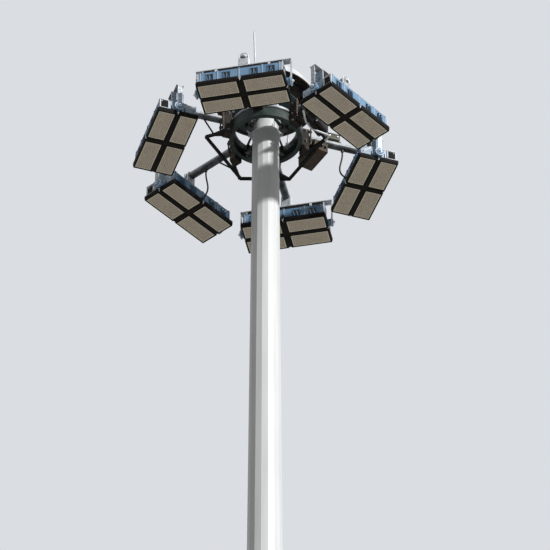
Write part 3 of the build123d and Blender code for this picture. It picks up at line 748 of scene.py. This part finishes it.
@lamp_piece(bright_zinc)
def bolts(bm):
    """Pivot bolts, and the screws of the end plates and the driver box."""
    for side in (-1, 1):
        hex_bolt(bm, place((side * pivot_nut_x, 0, pivot_z), (side, 0, 0)), 0.027, 0.011, 0.038, 0.006)
        for y, z in product((-0.155, -0.085, 0.085, 0.155), (tray_top_z + 0.02, sink_top_z - 0.02)):
            screw(bm, place((side * (sink_end + 0.0045), y, z), (side, 0, 0)), 0.011, 0.004)
        for x in (-0.34, -0.17, 0, 0.17, 0.34):
            lid_spot = (x, side * (driver_side - 0.012), driver_top_z + 0.003)
            screw(bm, place(lid_spot, (0, 0, 1)), 0.01, 0.003)
            side_spot = (x, side * (driver_side + 0.0015), sink_top_z + 0.014)
            screw(bm, place(side_spot, (0, side, 0)), 0.011, 0.004)


@lamp_piece(driver_black)
def driver_lid(bm):
    """The driver box's lid with its overhang, the foot flange and the cooling ribs."""
    slab(bm, move(0, 0, driver_top_z - 0.002), (driver_length + 0.006, driver_width + 0.006, 0.01), 0.003)
    slabs(bm, 0.0012, [(0, driver_side + 0.008, sink_top_z + 0.002, driver_length, 0.022, 0.004)], mirror="y")
    slabs(bm, 0.001, [(0, driver_side + 0.001, sink_top_z + 0.014, driver_length, 0.003, 0.024)], mirror="y")
    z = driver_middle_z + 0.01
    slabs(bm, 0.0018, [(i * 0.05, driver_side + 0.0015, z, 0.006, 0.005, 0.09) for i in range(-7, 8)], mirror="y")
    slabs(bm, 0.0018, [(driver_end + 0.0015, i * 0.035, z, 0.005, 0.006, 0.09) for i in (-1, 0, 1)], mirror="x")


@lamp_piece(bright_zinc)
def latches(bm):
    """Toggle latches on the driver box's lid, with their pins and wire loops."""
    loop = (
        (-0.009, 0, -0.034), (-0.009, 0.003, -0.012), (-0.006, 0, -0.002),
        (0.006, 0, -0.002), (0.009, 0.003, -0.012), (0.009, 0, -0.034),
    )
    for side, x in product((-1, 1), (-0.25, 0.25)):
        y = side * (driver_side + 0.006)
        slab(bm, move(x, y, driver_top_z - 0.02), (0.022, 0.006, 0.034), 0.002)
        tube(bm, [(x + end, y, driver_top_z - 0.034) for end in (-0.013, 0.013)], 0.003)
        tube(bm, [(x + along, y + side * out, driver_top_z + rise) for along, out, rise in loop], 0.0014, 6)


@lamp_piece(black_nylon)
def lead_inlets(bm):
    """The gland in the heat sink's inner side that a lead goes into."""
    radius, depth = lead_route[-1]
    way = Vector((0, 1, 0.75)).normalized()
    gland(bm, place(polar(0, radius - lamp_radius, arm_z - depth) - way * 0.026, way), 0.03, 0.03)


# Carriage
junction_at = place(polar(junction_angle, 0.665, arm_z + arm_tube / 2 + 0.036), (0, 0, 1), outward(junction_angle))
rod_spots = [
    polar(angle, post_out + 0.016, arm_z, side * (post_half - 0.001)) for angle in guard_angles for side in (-1, 1)
]


@piece("carriage", junction_olive)
def junction_box(bm):
    """The junction box on top of lamp 3's arm, with its lid and the saddle that holds it."""
    slab(bm, junction_at, (0.13, 0.09, 0.062), 0.005)
    slab(bm, junction_at @ move(0, 0, 0.033), (0.136, 0.096, 0.01), 0.003)
    slab(bm, junction_at @ move(0, 0, -0.033), (0.16, 0.05, 0.006), 0.0015)


@piece("carriage", bright_zinc)
def junction_bolts(bm):
    """The lid screws and side bolts of the junction box."""
    for x, side in product((-0.056, 0.056), (-1, 1)):
        screw(bm, junction_at @ move(x, side * 0.036, 0.038), 0.012, 0.004)
        hex_bolt(bm, junction_at @ move(x * 0.7, side * 0.045, 0.004) @ turn(-90 * side, "X"), 0.016, 0.008)


@piece("carriage", black_nylon)
def lead_outlets(bm):
    """The glands under the arms of lamps 3 and 5 that their leads come out of."""
    for angle in lead_angles:
        gland(bm, place(polar(angle, lead_route[0][0], arm_z - arm_tube / 2 + 0.003), (0, 0, -1)), 0.03, 0.03)


@piece("carriage", bright_zinc)
def yoke_clamps(bm):
    """Two U-bolts over each arm, with nuts on both sides of the yoke."""
    leg = arm_tube / 2 + 0.0065
    for angle, radius in product(lamp_angles, (lamp_radius - 0.022, lamp_radius + 0.022)):
        bend = [polar(angle, radius, arm_z + leg * sin(t), leg * cos(t)) for t in half_round(14)]
        feet = [polar(angle, radius, yoke_top_z - 0.0215, side * leg) for side in (1, -1)]
        tube(bm, [feet[0], *bend, feet[1]], 0.005, 10)
        for side, (z, way) in product((-1, 1), ((yoke_top_z - 0.008, -1), (yoke_top_z, 1))):
            hex_bolt(bm, place(polar(angle, radius, z, side * leg), (0, 0, way)), 0.016, 0.008, 0.022)


@piece("carriage", galvanised)
def arm_welds(bm):
    """Weld beads where the arms meet the ring and where the caps close them."""
    reach = arm_tube / 2 + 0.0005
    ends = ((post_in - 0.004, 0.004), (arm_end - arm_tube / 2 - 0.002, 0.0018))
    for angle, (radius, size) in product(lamp_angles, ends):
        path = [polar(angle, radius, arm_z + sin(t) * reach, cos(t) * reach) for t in around(48)]
        tube(bm, path, size, 6, True, 0.16)


@piece("carriage", brown_steel)
def post_lugs(bm):
    """Lugs on the posts, which the long rods go through."""
    for angle, side, z in product(guard_angles, (-1, 1), (arm_z + 0.062, arm_z - 0.058)):
        at = place(polar(angle, post_out + 0.011, z, side * (post_half - 0.002)), (0, 0, 1), outward(angle))
        slab(bm, at, (0.034, 0.026, 0.008), 0.0015)


@piece("carriage", dull_zinc)
def post_rods(bm):
    """The nuts of the long rods, and the bolts across the posts."""
    for rod, (rise, way) in product(rod_spots, ((0.066, 1), (-0.062, -1), (0.058, -1), (-0.054, 1))):
        hex_bolt(bm, place(rod + Vector((0, 0, rise)), (0, 0, way)), 0.022, 0.011, 0.03)
    for angle in lamp_angles:
        for rise in (0.066, -0.05) if angle == 0 else (0.066, -0.064, -0.15):
            for at in both_sides([angle], post_middle, arm_z + rise, post_half):
                hex_bolt(bm, at, 0.02, 0.01, 0.028, 0.006)


@piece("carriage", rod_brown)
def long_rods(bm):
    """The long brown rods through the lugs of the posts."""
    for rod in rod_spots:
        tube(bm, [rod + Vector((0, 0, rise)) for rise in (-0.1, 0.098)], 0.008, 12)


@piece("carriage", bright_zinc)
def post_straps(bm):
    """Pale flat straps that lean against the posts' outer edges, two to a post in a V."""
    for angle, side in product(guard_angles, (-1, 1)):
        low = polar(angle, post_out + 0.004, arm_z - 0.15, side * 0.014)
        high = polar(angle, post_out + 0.004, arm_z - 0.045, side * 0.036)
        slab(bm, place((low + high) / 2, high - low, outward(angle)), (0.005, 0.014, (high - low).length), 0.001)


@piece("carriage", bright_zinc)
def rope_sockets(bm):
    """The lug, pin and swaged socket that join each hoist rope to the ring, and the weld round them."""
    pin = [(0, 0), (0.008, 0), (0.008, 0.038), (0, 0.038)]
    socket = [(0, 0), (0.009, 0.002), (0.009, 0.04), (0.0085, 0.075), (0.0062, 0.095), (0.0045, 0.1), (0, 0.1)]
    for angle in rope_angles:
        for at in both_sides([angle], ring_radius, ring_top_z + 0.012, 0.012):
            slab(bm, at, (0.044, 0.034, 0.006), 0.002)
        lathe(bm, place(polar(angle, ring_radius, ring_top_z + 0.02, -0.019), sideways(angle)), pin, 16)
        lathe(bm, place(polar(angle, ring_radius, ring_top_z - 0.002), (0, 0, 1)), socket, 18)
        tube(bm, [
            polar(angle + 3.2 * cos(t), ring_radius + 0.018 * sin(t), ring_top_z - 0.0012)
            for t in around(30)
        ], 0.003, 6, True, 0.15)


def box_seat(name, angle, radius, turned, side=0.0):
    """The placement at the middle of a box's underside, and the box's height."""
    low, high = span(name)
    t = radians(turned)
    return place(polar(angle, radius, low, side), (0, 0, 1), (cos(t), sin(t), 0)), high - low


gear_at, gear_height = box_seat("gear_box", 131, 0.515, 132.7)
terminal_at, terminal_height = box_seat("terminal_box", 214, 0.3079, 214)
control_at, control_height = box_seat("control_box", 72.5, 0.5125, 72.5, 0.085)


@piece("carriage", box_brown)
def gear_box_lid(bm):
    """The box's folded lid with its drip edge, the hinges, the latches and the end pads."""
    slab(bm, gear_at @ move(0, 0, gear_height + 0.001), (0.306, 0.156, 0.012), 0.003)
    slabs(bm, 0.0015, (
        (0.1, 0.078, gear_height - 0.012, 0.034, 0.006, 0.026),
        (0.1, -0.077, gear_height - 0.022, 0.024, 0.005, 0.04),
    ), gear_at, "x")
    slabs(bm, 0.001, [(0.151, 0, gear_height / 2, 0.004, 0.12, 0.05)], gear_at, "x")
    for x in (-0.1, 0.1):
        tube(bm, [gear_at @ Vector((x + end, 0.081, gear_height - 0.001)) for end in (-0.018, 0.018)], 0.004)


@piece("carriage", box_green)
def terminal_box_lid(bm):
    """The cabinet's gasketed lid, which looks at the mast."""
    slabs(bm, 0.0015, (
        (0, 0.0235, terminal_height / 2, 0.172, 0.004, terminal_height),
        (0, 0.0255, terminal_height / 2, 0.14, 0.004, terminal_height - 0.03),
    ), terminal_at)


@piece("carriage", control_black)
def control_box_lid(bm):
    """The control box's lid with its drip edge, a pressed panel, the hinges and the latches."""
    slab(bm, control_at @ move(0, 0, control_height), (0.226, 0.116, 0.01), 0.003)
    slabs(bm, 0.0015, [(0, -0.0555, control_height / 2, 0.17, 0.004, control_height - 0.04)], control_at)
    slabs(bm, 0.0015, (
        (0.07, 0.058, control_height - 0.012, 0.03, 0.006, 0.024),
        (0.07, -0.058, control_height - 0.016, 0.02, 0.005, 0.034),
    ), control_at, "x")


@piece("carriage", bright_zinc)
def box_fasteners(bm):
    """The bolts and screws of the three boxes' lids and of the control box's feet."""
    for x, y in product((-0.14, 0.14), (-0.064, 0.064)):
        hex_bolt(bm, gear_at @ move(x, y, gear_height + 0.007), 0.011, 0.006, 0.016)
    for x, z in product((-0.078, 0.078), (0.01, terminal_height - 0.01)):
        screw(bm, terminal_at @ move(x, 0.0255, z) @ turn(-90, "X"), 0.009, 0.003)
    for x, y in product((-0.098, 0.098), (-0.044, 0.044)):
        hex_bolt(bm, control_at @ move(x, y, control_height + 0.005), 0.011, 0.006, 0.012)
        hex_bolt(bm, control_at @ move(x, y, 0) @ turn(180, "X"), 0.013, 0.007, 0.014)


@piece("carriage", black_nylon)
def glands(bm):
    """Cable glands at the ends of the boxes."""
    for side, z in product((-1, 1), (0.024, terminal_height - 0.024)):
        gland(bm, terminal_at @ move(side * 0.085, -0.002, z) @ turn(90 * side, "Y"), 0.02, 0.022)
    spots = [gear_at @ move(-0.153, y, gear_height / 2) for y in (-0.04, 0.0, 0.04)]
    spots += [control_at @ move(-0.11, y, control_height / 2) for y in (-0.028, 0.028)]
    for at in spots:
        gland(bm, at @ turn(-90, "Y"), 0.022, 0.024)


# Lamp leads
def hanging_line(points):
    """The smooth line of a hanging lead, read from a spline with these control points."""
    curve = bpy.data.curves.new("lead_line", "CURVE")
    curve.dimensions = "3D"
    spline = curve.splines.new("NURBS")
    spline.points.add(len(points) - 1)
    for spot, point in zip(spline.points, points):
        spot.co = (*point, 1.0)
    spline.order_u = 3
    spline.use_endpoint_u = True
    spline.resolution_u = 8
    line = new_object("lead_line", curve)
    mesh = bpy.data.meshes.new_from_object(line)
    found = [vert.co.copy() for vert in mesh.vertices]
    bpy.data.objects.remove(line)
    bpy.data.meshes.remove(mesh)
    return found


for angle in lead_angles:
    lamp = "lamp_%d" % (lamp_angles.index(angle) + 1)
    line = hanging_line([polar(angle, radius, arm_z - depth) for radius, depth in lead_route])
    bm = bmesh.new()
    tube(bm, line, lead_diameter / 2, 14)
    lead = finished(lamp + "_lead", bm, lead_rubber, None, 60)
    length = sum((b - a).length for a, b in zip(line, line[1:]))
    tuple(line[0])
    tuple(line[0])
    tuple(line[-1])
    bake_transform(lead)


# Hoist ropes
rope_radius = 0.004
strand_radius = 0.00135
strand_lay = 0.055
socket_top_z = ring_top_z + 0.09


def strands(bm, points):
    """Six wires laid round the points of a path, with one along the middle."""
    travelled = 0.0
    last = points[0]
    wires = [[] for _ in range(6)]
    for point, normal, across in walk(points):
        travelled += (point - last).length
        last = point
        for k, wire in enumerate(wires):
            t = 2 * pi * (travelled / strand_lay + k / 6)
            wire.append(point + (normal * cos(t) + across * sin(t)) * (rope_radius - strand_radius))
    for wire in wires:
        tube(bm, wire, strand_radius, 5)
    tube(bm, points, strand_radius, 5)


def straight(start, end, count):
    return [start.lerp(end, i / (count - 1)) for i in range(count)]


bm = bmesh.new()
for angle in rope_angles:
    strands(bm, straight(polar(angle, ring_radius, sheave_z), polar(angle, ring_radius, socket_top_z), 54))
falls = finished("rope_falls", bm, wire_steel, None, 60)
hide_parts("hoist_ropes")
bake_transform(falls)


@piece("mast", wire_steel, 60)
def rope_over_sheaves(bm):
    """Each rope goes over its sheave and down into the mast."""
    for angle in rope_angles:
        wrap = [
            polar(angle, sheave_centre + sheave_radius * cos(t), sheave_z + sheave_radius * sin(t))
            for t in half_round(60)
        ]
        inner = sheave_centre - sheave_radius
        down = straight(polar(angle, inner, sheave_z), polar(angle, inner, head_z - 0.25), 60)
        strands(bm, wrap + down[1:])


# Mast
fold_lean = cos(pi / mast_sides)
dome_radius = (canopy_radius ** 2 + canopy_crown ** 2) / (2 * canopy_crown)
dome_centre_z = canopy_rim_z + canopy_crown - dome_radius
rod_azimuth = -78
rod_foot = 0.098
rod_lean = radians(1.5)


def mast_reach(z):
    """Half the mast's width across flats at a height."""
    return (mast_top_width + mast_growth * (seam_z - z)) / 2


@piece("mast", mast_paint)
def mast_welds(bm):
    """Each length's long weld on one fold, and the beads round the head tube's seam and the foot."""
    for low, high in ((0.045, 9.28), (9.31, 17.28), (17.31, seam_z - 0.004), (seam_z + 0.004, head_z - 0.33)):
        heights = [low + (high - low) * i / 40 for i in range(41)]
        tube(bm, [polar(180, mast_reach(z) / fold_lean + 0.0004, z) for z in heights], 0.003, 6, False, 0.1)
    for z, proud, size in ((seam_z, 0.0002, 0.0022), (flange_top_z + 0.002, 0.002, 0.009)):
        folds = [polar(fold_angle * i, (mast_reach(z) + proud) / fold_lean, z) for i in range(mast_sides)]
        path = [a.lerp(b, k / 12) for a, b in zip(folds, folds[1:] + folds[:1]) for k in range(12)]
        tube(bm, path, size, 6, True, 0.1)


@piece("mast", bright_zinc)
def anchor_nuts(bm):
    """Anchor bolts, their washers, nuts and lock nuts on the base flange."""
    for index in range(16):
        angle = 22.5 * index
        at = place(polar(angle - 90, anchor_radius, flange_top_z), (0, 0, 1), outward(angle + 7 * (index % 5)))
        hex_bolt(bm, at, 0.055, 0.029, 0.066)
        hex_bolt(bm, at @ move(0, 0, 0.0345), 0.055, 0.018, 0.0, 0.045, 0.004)


@piece("mast", bright_zinc)
def door_fittings(bm):
    """Two key locks, the hinge knuckles and the earthing stud at the door."""
    lock = [(0, -0.002), (0.016, -0.002), (0.016, 0.003), (0.014, 0.005), (0.009, 0.005), (0.009, 0.001), (0, 0.001)]
    key = [(0, 0.001), (0.006, 0.001), (0.006, 0.006), (0.005, 0.007), (0, 0.007)]
    for z in (0.78, 1.22):
        at = place(polar(door_azimuth, mast_reach(z) + 0.0005, z, 0.075), outward(door_azimuth))
        lathe(bm, at, lock, 24)
        lathe(bm, at, key, 3)
    for middle in (0.75, 1.25):
        reach = mast_reach(middle) - 0.0055
        tube(bm, [polar(door_azimuth, reach, z, -0.1) for z in (middle - 0.035, middle + 0.035)], 0.009, 14)
    stud_azimuth = door_azimuth + 45
    at = place(polar(stud_azimuth, mast_reach(0.35) - 0.0005, 0.35), outward(stud_azimuth))
    hex_bolt(bm, at, 0.024, 0.012, 0.034, 0.02, 0.002)


@piece("mast", mast_paint)
def joint_lugs(bm):
    """Nuts welded on both sides of the slip joints, which the lengths are pulled together by."""
    nut = [(0.009, 0), (0.019, 0), (0.019, 0.02), (0.017, 0.022), (0.009, 0.022), (0.009, 0.004), (0, 0.004)]
    for joint_z, azimuth, rise in product(slip_joints, (11.25, 101.25, 191.25, 281.25), (-0.2, 0.2)):
        z = joint_z + rise
        lathe(bm, place(polar(azimuth, mast_reach(z) - 0.002, z), outward(azimuth)), nut, 6)


@piece("mast", white_paint)
def collar_ears(bm):
    """The clamping ears of the collar and the bead round its lower edge."""
    middle = (collar_low_z + collar_flange_z) / 2
    for at in both_sides(ear_angles, collar_radius + 0.012, middle, 0.007):
        slab(bm, at, (0.13, 0.03, 0.006), 0.002)
    path = [polar(3.75 * i, collar_radius + 0.0008, collar_low_z + 0.003) for i in range(96)]
    tube(bm, path, 0.003, 6, True, 0.1)


@piece("mast", bright_zinc)
def head_bolts(bm):
    """Bolts of the collar's ears and flange, the head plate's rim, the brackets and the sheaves."""
    for z in (collar_low_z + 0.035, collar_flange_z - 0.035):
        for at, stud in zip(both_sides(ear_angles, 0.151, z, 0.01), (0, 0.005, 0, 0.005)):
            hex_bolt(bm, at, 0.015, 0.008, 0.02, stud)
    for index in range(8):
        hex_bolt(bm, place(polar(22 + 45 * index, 0.1425, collar_flange_z), (0, 0, -1)), 0.01, 0.005)
    for index in range(12):
        hex_bolt(bm, place(polar(15 + 30 * index, 0.305, head_z), (0, 0, -1)), 0.019, 0.01, 0.028, 0.008)
    for radius, rise in ((0.3, 0.047), (0.37, 0.094)):
        for at in both_sides(bracket_angles, radius, head_z + rise, 0.004):
            hex_bolt(bm, at, 0.015, 0.008, 0.021)
    for at in both_sides(rope_angles, sheave_centre, sheave_z, 0.027):
        hex_bolt(bm, at, 0.03, 0.009, 0.036)


def dome_point(angle, radius, proud=0.0):
    """A point on the canopy's dome, or proud of it, and the way the dome looks there."""
    slope = asin(radius / dome_radius)
    reach = dome_radius + proud
    spot = polar(angle, reach * sin(slope), dome_centre_z + reach * cos(slope))
    return spot, polar(angle, sin(slope), cos(slope))


@piece("mast", white_paint)
def canopy_rivets(bm):
    """Rivets on the dome, over the brackets' flanges."""
    head = [(0.008, -0.001), (0.007, 0.002), (0.004, 0.0035), (0, 0.004)]
    for angle, radius, shift in product(bracket_angles, (0.455, 0.468), (-3, 3)):
        lathe(bm, place(*dome_point(angle + shift, radius)), head, 12)


@piece("mast", brown_steel)
def canopy_ribs(bm):
    """Pressed ribs under the dome, which stiffen it."""
    for index in range(12):
        tube(bm, [dome_point(15 + 30 * index, 0.06 + 0.025 * i, -0.006)[0] for i in range(17)], 0.0035, 6)


@piece("mast", rod_metal)
def rod_fittings(bm):
    """The rod's flange with its bolts, a lock nut and the pointed tip."""
    foot, way = dome_point(rod_azimuth, rod_foot)
    flange = [(0.036, -0.003), (0.042, 0.0), (0.042, 0.006), (0.03, 0.008), (0.0235, 0.012), (0.0235, 0.008)]
    tip = [(0.0092, -0.002), (0.0092, 0.002), (0.006, 0.022), (0.0022, 0.04), (0, 0.043)]
    lean = polar(rod_azimuth, sin(rod_lean), cos(rod_lean))
    lathe(bm, place(foot, way), flange, 32)
    lathe(bm, place(foot + lean * 0.592, lean), tip, 18)
    hex_bolt(bm, place(foot + lean * 0.03, lean), 0.032, 0.014)
    for index in range(4):
        t = radians(45 + 90 * index)
        shift = degrees(0.034 * cos(t) / rod_foot)
        spot, up = dome_point(rod_azimuth + shift, rod_foot + 0.034 * sin(t))
        hex_bolt(bm, place(spot + up * 0.005, up), 0.011, 0.006)


@piece("mast", dull_zinc)
def guide_washers(bm):
    """Thrust washers and pin ends at the guide rollers."""
    washer = [
        (0.008, -0.001), (0.015, -0.001), (0.015, 0.002), (0.009, 0.003), (0.009, 0.007), (0.006, 0.009), (0, 0.009),
    ]
    for at in both_sides(guide_angles, 0.222, head_z - 0.35, 0.029):
        lathe(bm, at, washer, 20)


# Stage: pale floor, plain studio light, and the photograph's view from near the ground
def seen_rays(home):
    """The kinds of ray, and 1 for those that the camera or a reflection sees."""
    rays = add_node(home, "LightPath").outputs
    return rays, sum_up("MAXIMUM", rays["Is Camera Ray"], rays["Is Glossy Ray"])


def pale_floor():
    """A pale floor, a little darker in the light that it throws back than where it is seen."""
    material, shader, where = new_material("pale_floor")
    pale = two_tone(noise(where, 2.0, 3.0), "#E6E6E4", "#EAEAE8", 0.4, 0.6)
    feed(shader, Base_Color=mixed(seen_rays(where)[1], linear("#B8B8B6"), pale), Roughness=0.9)
    bm = bmesh.new()
    lathe(bm, Matrix(), [(0, -0.001), (160.0, -0.001)], 96)
    new_object("floor", meshed("floor", bm, material))


def pale_world(ambient):
    """Pale grey behind the object and in its reflections, and a dimmer even light on it."""
    world = bpy.data.worlds.new("studio")
    bpy.context.scene.world = world
    world.use_nodes = True
    tree = world.node_tree
    tree.nodes.clear()
    rays, seen = seen_rays(tree)
    either = sum_up("MAXIMUM", seen, rays["Is Transmission Ray"])
    light = add_node(tree, "Background", Color=(1, 1, 1, 1), Strength=ambient)
    backdrop = add_node(tree, "Background", Color=linear("#DADDE2"), Strength=1.0)
    mix = add_node(tree, "MixShader", Fac=either, i1=light.outputs[0], i2=backdrop.outputs[0])
    add_node(tree, "OutputWorld", Surface=mix.outputs[0])


def studio_sun(name, azimuth, elevation, strength, softness):
    """A wide soft lamp, far off, that looks at the tower from an azimuth and an elevation."""
    lamp = bpy.data.lights.new(name, "SUN")
    lamp.energy = strength
    lamp.angle = radians(softness)
    made = new_object(name, lamp)
    e = radians(elevation)
    way = polar(azimuth, cos(e), sin(e))
    made.rotation_mode = "QUATERNION"
    made.rotation_quaternion = way.to_track_quat("Z", "Y")
    made.location = Vector((0, 0, 20)) + way * 40


def photo_camera():
    """The photograph's view: 24 m from the mast, 1.5 m above the ground, through a long lens."""
    azimuth, elevation, distance = 11.89, radians(43.165), 33.4
    centre_x, centre_y, focal_pixels, picture = 265.36, 166.0, 3565.5, 550
    target = Vector((0, 0, face_z))
    eye = target + distance * polar(azimuth, cos(elevation), -sin(elevation))
    ahead = (target - eye).normalized()
    right = ahead.cross(Vector((0, 0, 1))).normalized()
    up = right.cross(ahead)
    axis = ahead + right * (picture / 2 - centre_x) / focal_pixels - up * (picture / 2 - centre_y) / focal_pixels
    data = bpy.data.cameras.new("camera")
    data.sensor_width = 36.0
    data.lens = focal_pixels / picture * data.sensor_width
    data.clip_start = 0.5
    data.clip_end = 400.0
    camera = new_object("camera", data)
    camera.matrix_world = place(eye, -axis, axis.cross(Vector((0, 0, 1))))
    bpy.context.scene.camera = camera


pale_floor()
pale_world(0.1)
studio_sun("key", 60, 27, 3.2, 4)
studio_sun("fill", -60, 20, 0.05, 40)
photo_camera()
bpy.context.scene.view_settings.view_transform = "Standard"
